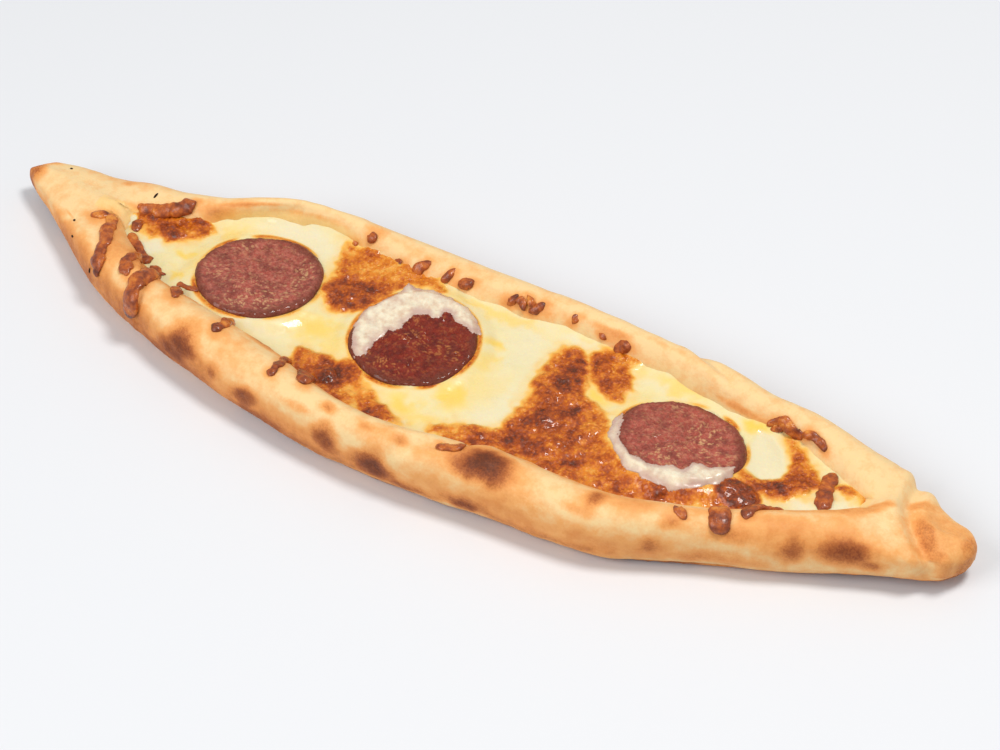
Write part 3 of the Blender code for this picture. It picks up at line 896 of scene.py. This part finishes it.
def oiliness(points, angle, is_near):
    """How oily the dough is: along the filling, and on the inside of the far rim by the left slice."""
    px = points[..., 0]
    seam = smoothstep(140, 162, angle) * np.where(np.abs(px) < 142, 1.0, 0.0)
    by_slice = blot(px, np.zeros_like(px), -78, 0, 26, 9, 0.5) * smoothstep(112, 135, angle)
    return np.maximum(seam * (0.45 + 0.4 * noise(points, 9.0, 23)), 0.8 * np.where(is_near, 0.0, by_slice))


def make_crust():
    points, angle, is_near = crust_grid()
    normal = grid_normals(points, True)
    up = normal[..., 2]
    warp = layered(points, SPOT_WARP)
    scorch = scorching(points, angle, is_near, up, warp)
    golden_and_shade = blush_and_shade(points, angle, is_near, up, warp)
    oil = oiliness(points, angle, is_near)
    move = dough_relief(points, up) + scorch * (0.32 * rough_noise(points, 2.4, 31, 2) + 0.15)
    points = points + normal * move[..., None]
    points[..., 2] = np.maximum(points[..., 2], 0.0)

    data, _ = grid_mesh("crust_dough", points, closed_rows=True)
    cap_rings(data, points.shape[1])
    paint(data, "bake", scorch.ravel(), golden_and_shade.ravel(), oil.ravel())
    data.materials.append(dough_material())
    add_piece("crust_dough", data, "crust", "crust")
    return data


# ------ the filling


def region_share(x, y, outlines, softness, wobble):
    """1 well inside any of the outlines, 0 outside them, with edges moved by wobble."""
    total = np.zeros_like(x)
    for outline in outlines.values():
        inside = depth_inside(x, y, outline) + wobble
        total = np.maximum(total, smoothstep(-softness, softness, inside))
    return total


def slice_plane(x, y, entry):
    """The height of a slice's top plane, and how far out a plan point is: 1 on its edge."""
    _, cx, cy, width, depth, tilt, turn, _, _ = entry
    c, s = math.cos(math.radians(turn)), math.sin(math.radians(turn))
    u, v = (x - cx) * c + (y - cy) * s, (y - cy) * c - (x - cx) * s
    height = SLICE_TOP - (y - cy) * math.tan(math.radians(tilt)) * c
    return height, np.hypot(u / (width / 2), v / (depth / 2))


def strongest(x, y, listed, edge):
    """The strongest of the listed blots at plan points."""
    total = np.zeros_like(x)
    for cx, cy, half_x, half_y, strength in listed:
        total = np.maximum(total, strength * blot(x, y, cx, cy, half_x, half_y, edge))
    return total


class Filling:
    """The melted cheese as a grid of heights, with its browning, whiteness and yellowness."""

    def __init__(self):
        xs = np.arange(TROUGH_START + 6, TROUGH_END - 3, CHEESE_STEP)
        ys = np.arange(*CHEESE_ACROSS, CHEESE_STEP)
        self.x, self.y = np.meshgrid(xs, ys, indexing="ij")
        self.place = flat_points(self.x, self.y)
        rib = ribs(xs)
        near_wall = rib["near"][0] + rib["near"][2] * WALL_SHARE
        far_wall = rib["far"][0] - rib["far"][2] * WALL_SHARE
        self.inside = np.minimum(self.y - near_wall[:, None], far_wall[:, None] - self.y)
        self.wobble = layered(self.place, CHEESE_WOBBLE)
        self.browned = region_share(self.x, self.y, BROWNED, 2.3, 1.15 * self.wobble)
        self.middling, self.middling_share = bubbles(self.x, self.y, 2.9, 61)
        self.large, _ = bubbles(self.x, self.y, 8.0, 71, 0.2, 0.5)

    def colour(self):
        """The browned regions and the white and yellow stretches."""
        x, y, browned, wobble = self.x, self.y, self.browned, self.wobble
        darker = region_share(x, y, DARKER, 3.5, 1.6 * wobble)
        rough = rough_noise(self.place, 6.0, 43)
        browning = browned * (0.48 + 0.22 * rough) + darker * browned * 0.23
        bubbled = 0.12 * (self.middling_share - 0.4) * (self.middling > 0.1) - 0.05 * self.large
        browning = browning + browned * bubbled
        near_browned = region_share(x, y, BROWNED, 5.0, 1.8 * wobble)
        self.browning = np.maximum(browning, near_browned * 0.22)
        white = strongest(x + 2 * wobble, y + 2 * wobble, WHITE, 0.6)
        self.white = np.clip(white + 0.25 * noise(self.place, 9.0, 81), 0, 1)
        self.yellow = strongest(x + 2 * wobble, y + 2 * wobble, YELLOW, 0.7)

    def swell(self):
        """The height: soft where the cheese is pale, crisp and bubbled where it is browned."""
        small, _ = bubbles(self.x, self.y, 1.3, 51)
        crisp = 0.42 * small + 0.42 * self.middling + 0.7 * self.large
        crisp = crisp + 0.20 * rough_noise(self.place, 1.6, 47, 2)
        height = CHEESE_LEVEL + layered(self.place, CHEESE_SWELL)
        height = height + (1 - self.browned) * layered(self.place, CHEESE_RIPPLE)
        self.height = height + self.browned * (0.25 + crisp)

    def blister(self):
        for cx, cy, half_x, half_y, tall in BLISTERS:
            dome = np.clip(1.0 - ((self.x - cx) / half_x) ** 2 - ((self.y - cy) / half_y) ** 2, 0.0, 1.0)
            self.height += tall * np.sqrt(dome) * (1.0 + 0.15 * noise(self.place, 2.0, 48))
            self.browning += 0.10 * (dome > 0) * smoothstep(1.5, 2.6, tall)
        self.browning = np.maximum(self.browning, 0.80 * blot(self.x, self.y, *TONGUE, 0.2))

    def pool(self):
        depth = depth_inside(self.x, self.y, POOL)
        share = smoothstep(-0.8, 0.8, depth)
        self.height += share * (0.9 * np.sqrt(smoothstep(0, 6, depth)) - 0.5)
        self.browning *= 1 - share
        self.white = np.maximum(self.white, 0.75 * share)
        self.yellow *= 1 - share

    def climb_walls(self):
        climb = CLIMB_HEIGHT + layered(self.place, CHEESE_CLIMB)
        climb = climb * np.exp(-np.clip(self.inside - 3.0, 0, None) / CLIMB_RUN)
        ends = smoothstep(*CLIMB_LEFT, self.x) * (1 - smoothstep(*CLIMB_RIGHT, self.x))
        self.height += climb * smoothstep(1.0, 4.0, self.inside) * ends

    def meet_slices(self):
        """Raises the cheese to each slice's edge, with a browned collar, and sinks it under the slice."""
        for entry in SLICES:
            plane, reach = slice_plane(self.x, self.y, entry)
            rise = 1.0 - smoothstep(SLICE_COLLAR, 1.34, reach)
            raised = np.maximum(self.height, plane - BELOW_SLICE_EDGE + 0.3 * noise(self.place, 6.0, 49))
            self.height = self.height * (1 - rise) + raised * rise
            under = 1.0 - smoothstep(0.93, 0.985, reach)
            self.height = self.height * (1 - under) + (plane - BELOW_SLICE) * under
            collar = np.exp(-(((reach - SLICE_COLLAR) / 0.04) ** 2))
            self.browning = np.maximum(self.browning, 0.42 * collar * (0.6 + noise(self.place, 6.0, 50)))

    def whiten_pocket(self):
        pocket = blot(self.x, self.y, *POCKET, 0.3)
        self.browning *= 1 - pocket
        self.white = np.maximum(self.white, pocket)


def make_cheese():
    filling = Filling()
    filling.colour()
    filling.swell()
    filling.blister()
    filling.pool()
    filling.climb_walls()
    filling.meet_slices()
    filling.whiten_pocket()

    held = filling.inside > 1.0
    points = np.stack([filling.x, filling.y, filling.height], axis=-1)
    data, used = grid_mesh("cheese_melt", points, keep=held[:-1, :-1] & held[1:, 1:])
    data.flip_normals()
    shares = (filling.browning, filling.white, filling.yellow)
    paint(data, "melt", *(values.ravel()[used] for values in shares))
    close_below(data, CHEESE_THICKNESS * MM)
    data.materials.append(cheese_material())
    add_piece("cheese_melt", data, "cheese", "cheese")
    return data


def border_loops(following):
    """A sheet's border as closed loops, in a fixed order; following lists the points after each point."""
    loops = []
    path = []
    while following or path:
        path = path or [min(following)]
        after = following[path[-1]].pop()
        if not following[path[-1]]:
            del following[path[-1]]
        if after in path:
            start = path.index(after)
            loops.append(path[start:])
            path = path[: start + 1] if start else []
        else:
            path.append(after)
    return loops


def close_below(data, drop):
    """Gives an open sheet a skirt and a bottom drop below it, so that it is a closed body."""
    mesh = bmesh.new()
    mesh.from_mesh(data)
    following = {}
    for edge in mesh.edges:
        if edge.is_boundary:
            corner = edge.link_loops[0]
            following.setdefault(corner.vert.index, []).append(corner.link_loop_next.vert.index)
    mesh.verts.ensure_lookup_table()
    above = {i: mesh.verts[i] for i in sorted(following)}
    below = {i: mesh.verts.new(vert.co - Vector((0, 0, drop)), vert) for i, vert in above.items()}
    for start, ends in sorted(following.items()):
        for end in ends:
            mesh.faces.new((above[end], above[start], below[start], below[end]))
    for loop in border_loops(following):
        mesh.faces.new([below[i] for i in loop])
    bmesh.ops.recalc_face_normals(mesh, faces=mesh.faces)
    for face in mesh.faces:
        face.smooth = len(face.verts) <= 4
    mesh.to_mesh(data)
    mesh.free()


# ------ the sausage slices


def make_slice(entry, seed):
    name, cx, cy, width, depth, tilt, turn, red, dark = entry
    radius = np.linspace(0.0, 1.0, int(width / 2 / SLICE_STEP) + 1)[1:]
    turnaround = np.linspace(0, 2 * np.pi, SLICE_SIDES, endpoint=False)
    share, around = np.meshgrid(radius, turnaround, indexing="ij")
    out = 1.0 + 0.016 * np.sin(3 * around + seed) + 0.009 * np.sin(7 * around + 2 * seed)
    u, v = share * out * np.cos(around) * width / 2, share * out * np.sin(around) * depth / 2
    place = flat_points(u, v, seed * 10.0)
    edge = smoothstep(0.80, 0.98, share + 0.05 * noise(place, 5.0, seed + 9))
    moved_u, moved_v = u + 0.9 * noise(place, 1.1, 5), v + 0.9 * noise(place, 1.1, 6)
    grains, owner = bubbles(moved_u, moved_v, 1.0, seed + 3, 0.2, 0.5)
    z = layered(place, SLICE_RELIEF, seed) + 0.22 * grains
    z = z + 0.30 * smoothstep(0.7, 0.95, share) - 0.9 * smoothstep(0.95, 1.0, share)
    patches = smoothstep(-0.2, 0.8, noise(place, 7.5, seed + 8))
    fat = np.clip(grains * 1.4, 0, 1) * (owner > 0.62) * (1 - edge) * (0.25 + 0.75 * patches)
    browned = edge * (0.75 + 0.25 * noise(place, 4.0, seed + 4))
    browned = np.maximum(browned, 0.5 * smoothstep(0.25, 0.9, noise(place, 7.0, seed + 6)) * dark)
    top = np.stack([u, v, z], axis=-1)
    rim = np.stack([top[-1] - np.array((0, 0, drop)) for drop in (0.6, 1.5, 2.4)])
    fat = np.concatenate([fat, np.zeros(rim.shape[:2])]).ravel()
    browned = np.concatenate([browned, np.ones(rim.shape[:2])]).ravel()

    data, _ = grid_mesh(f"{name}_slice", np.concatenate([top, rim]), closed_rows=True)
    cap_rings(data, SLICE_SIDES)
    paint(data, "meat", fat, browned, 0 * fat)
    place_in_frame = Matrix.Translation(Vector((cx, cy, SLICE_TOP)) * MM)
    place_in_frame = place_in_frame @ Matrix.Rotation(math.radians(turn), 4, "Z")
    place_in_frame = place_in_frame @ Matrix.Rotation(math.radians(-tilt), 4, "X")
    data.transform(place_in_frame)
    data.materials.append(sucuk_material(f"{name}_meat", red, dark))
    add_piece(f"{name}_slice", data, "sucuk", name)
    return data


# ------ things that lie on the surface


class Surface:
    """Everything made so far, to lay further pieces on."""

    def __init__(self, *meshes):
        vertices, polygons = [], []
        for data in meshes:
            start = len(vertices)
            vertices.extend(vertex.co.copy() for vertex in data.vertices)
            polygons.extend([start + i for i in polygon.vertices] for polygon in data.polygons)
        self.tree = BVHTree.FromPolygons(vertices, polygons)

    def height(self, x, y):
        hit = self.tree.ray_cast(Vector((x * MM, y * MM, 0.1)), Vector((0, 0, -1)))
        return hit[0].z / MM if hit[0] is not None else 0.0

    def snap(self, point):
        """The surface's nearest point to a point, and its outward normal."""
        place, normal, _, _ = self.tree.find_nearest(Vector(point) * MM)
        return np.array(place) / MM, np.array(normal)


def smooth_path(points, spacing):
    """Points every spacing along a smooth curve through the given ones."""
    points = np.array(points, float)
    lengths = np.concatenate([[0], np.cumsum(np.linalg.norm(np.diff(points, axis=0), axis=1))])
    places = np.linspace(0, lengths[-1], max(4, int(lengths[-1] / spacing)))
    return np.stack([along(places, list(zip(lengths, points[:, i]))) for i in range(points.shape[1])], axis=1)


def rim_point(side, x, angle):
    y, z = rim_place(ribs(np.array([float(x)])), side, np.array([float(angle)]))
    return (x, float(y[0]), float(z[0]))


def shred_rings(surface, path, half_width, seed):
    """A lumpy tube lying on the surface along a path of 3-D points, thick in the middle, with uneven ends."""
    path = smooth_path(path, SHRED_STEP)
    snapped = [surface.snap(point) for point in path]
    centre = np.array([place for place, _ in snapped])
    up = np.array([normal for _, normal in snapped])
    for _ in range(6):
        centre[1:-1] = (centre[:-2] + 2 * centre[1:-1] + centre[2:]) / 4
        up[1:-1] = (up[:-2] + 2 * up[1:-1] + up[2:]) / 4
    wander = np.zeros_like(centre)
    for axis in (0, 1):
        wander[:, axis] = noise(centre, 3.0, seed + 4 + axis)
    centre = centre + 0.9 * wander
    tangent = np.gradient(centre, axis=0)
    tangent /= np.linalg.norm(tangent, axis=1, keepdims=True)
    across = np.cross(up, tangent)
    across /= np.linalg.norm(across, axis=1, keepdims=True)
    up = np.cross(tangent, across)
    length = np.arange(len(centre)) * SHRED_STEP
    ends = np.sqrt(np.clip(np.minimum(length, length[-1] - length) / half_width, 0.02, 1.0))
    lumps = 1.0 + 0.30 * noise(flat_points(length, np.full_like(length, seed * 7.3)), 2.8, seed)
    width = half_width * ends * lumps
    around = np.linspace(0, 2 * np.pi, SHRED_SIDES, endpoint=False)[None, :, None]
    ring = across[:, None] * np.cos(around) + SHRED_FLATNESS * up[:, None] * np.sin(around)
    rings = centre[:, None] + width[:, None, None] * ring
    bump = layered(rings, SHRED_BUMPS, seed)
    outward = rings - centre[:, None]
    outward /= np.maximum(np.linalg.norm(outward, axis=-1, keepdims=True), 1e-6)
    bump = bump[..., None] * np.minimum(1.0, width / 1.2)[:, None, None]
    return rings + outward * bump + up[:, None] * SHRED_LIFT


def make_shreds(surface):
    """All browned shreds as one piece."""
    rows = [(width, [rim_point("near", *point) for point in path]) for width, path in NEAR_SHREDS]
    rows += [(width, [rim_point("far", *point) for point in path]) for width, path in FAR_SHREDS]
    rows += [(width, [(x, y, surface.height(x, y)) for x, y in path]) for width, path in FILLING_SHREDS]
    mesh = bmesh.new()
    shares = []
    for seed, (half_width, path) in enumerate(rows):
        rings = shred_rings(surface, path, half_width, seed)
        data, _ = grid_mesh("one_shred", rings, closed_rows=True)
        cap_rings(data, rings.shape[1])
        mesh.from_mesh(data)
        bpy.data.meshes.remove(data)
        lengthwise = np.linspace(0, 1, len(rings))[:, None] * np.ones(rings.shape[1])
        shares.append((0.40 + 0.30 * lengthwise**2 + 0.34 * noise(rings, 3.0, 90)).ravel())
    data = bpy.data.meshes.new("browned_shreds")
    mesh.to_mesh(data)
    mesh.free()
    dark = np.concatenate(shares)
    paint(data, "melt", dark, dark * 0, dark * 0)
    data.materials.append(shred_material())
    add_piece("browned_shreds", data, "cheese")


def make_cap(surface, name, outline, seed, finish):
    """A thin ragged sheet of congealed cheese lying on a slice."""
    sides = [np.arange(min(values) - 2, max(values) + 2, CAP_STEP) for values in zip(*outline)]
    x, y = np.meshgrid(*sides, indexing="ij")
    place = flat_points(x, y)
    inside = depth_inside(x, y, outline) + layered(place, CAP_RAGS, seed)
    below = np.vectorize(surface.height)(x, y)
    small, _ = bubbles(x, y, 1.9, seed + 2)
    thick = CAP_HEIGHT * np.sqrt(smoothstep(-0.1, 2.6, inside)) + 0.05 * small
    thick = thick + 0.18 * noise(place, 3.0, seed + 3)
    for _ in range(3):
        below[1:-1, 1:-1] = (below[:-2, 1:-1] + below[2:, 1:-1] + below[1:-1, :-2] + below[1:-1, 2:]) / 4
    points = np.stack([x, y, below + thick - 0.02], axis=-1)
    held = inside > 0
    data, used = grid_mesh(name, points, keep=held[:-1, :-1] & held[1:, 1:])
    data.flip_normals()
    thin = 0.9 - 0.9 * smoothstep(0.2, 3.2, inside) + 0.45 * np.clip(noise(place, 4.0, seed + 5), 0, 1)
    thin = thin.ravel()[used]
    paint(data, "melt", thin, thin * 0, thin * 0)
    close_below(data, CAP_THICKNESS * MM)
    data.materials.append(finish)
    add_piece(name, data, "cheese")


def make_specks(surface):
    """Tiny burnt specks stuck to the dough, as one piece."""
    mesh = bmesh.new()
    for number, (side, x, angle, length) in enumerate(BLACK_SPECKS):
        place, normal = surface.snap(rim_point(side, x, angle))
        turn = Vector(normal).to_track_quat("Z", "Y").to_matrix().to_4x4()
        size = Matrix.Diagonal((length / 2, SPECK_HALF_WIDTH, SPECK_HALF_HEIGHT, 1.0))
        spin = Matrix.Rotation(0.6 + number, 4, "Z")
        matrix = Matrix.Translation(Vector(place) * MM) @ turn @ spin @ size @ Matrix.Scale(MM, 4)
        bmesh.ops.create_icosphere(mesh, subdivisions=2, radius=1.0, matrix=matrix)
    for face in mesh.faces:
        face.smooth = True
    data = bpy.data.meshes.new("burnt_specks")
    mesh.to_mesh(data)
    mesh.free()
    data.materials.append(speck_material())
    add_piece("burnt_specks", data, "crust")


# ------ stage


def make_stage():
    bpy.ops.mesh.primitive_plane_add(size=FLOOR_SIZE, location=(0, 0, 0))
    floor = bpy.context.object
    floor.name = "floor"
    s = Shader("pale_floor")
    s.set(Base_Color=(0.76, 0.77, 0.79, 1.0), Roughness=0.6)
    floor.data.materials.append(s.material)


def add_light(name, place, size, power, colour):
    """A round light aimed at the middle of the bread."""
    light = bpy.data.lights.new(name, "AREA")
    light.shape = "DISK"
    light.size = size
    light.energy = power
    light.color = colour
    lamp = bpy.data.objects.new(name, light)
    bpy.context.scene.collection.objects.link(lamp)
    lamp.location = place
    lamp.rotation_euler = (-Vector(place)).to_track_quat("-Z", "Y").to_euler()


def make_lights():
    add_light("key", *KEY_LIGHT)
    add_light("fill", *FILL_LIGHT)
    world = bpy.data.worlds.new("studio")
    world.use_nodes = True
    background = world.node_tree.nodes["Background"]
    background.inputs["Color"].default_value = SKY
    background.inputs["Strength"].default_value = SKY_STRENGTH
    bpy.context.scene.world = world
    bpy.context.scene.view_settings.view_transform = "Standard"


def make_camera():
    camera = bpy.data.cameras.new("camera")
    camera.lens = CAMERA_LENS
    camera.sensor_width = SENSOR_WIDTH
    camera.clip_start = 0.05
    holder = bpy.data.objects.new("camera", camera)
    bpy.context.scene.collection.objects.link(holder)
    facing = Vector(CAMERA_DIRECTION).to_track_quat("-Z", "Y").to_matrix().to_4x4()
    roll = Matrix.Rotation(math.radians(CAMERA_ROLL), 4, "Z")
    holder.matrix_world = Matrix.Translation(Vector(CAMERA_AT) * MM) @ facing @ roll
    bpy.context.scene.camera = holder


def main():
    make_camera()
    make_stage()
    make_lights()
    crust = make_crust()
    cheese = make_cheese()
    slices = [make_slice(entry, 100 + 10 * i) for i, entry in enumerate(SLICES)]
    surface = Surface(crust, cheese, *slices)
    white = white_cheese_material()
    for number, (name, outline) in enumerate(WHITE_CAPS.items()):
        make_cap(surface, name, outline, 200 + 10 * number, white)
    make_shreds(surface)
    make_specks(surface)


main()
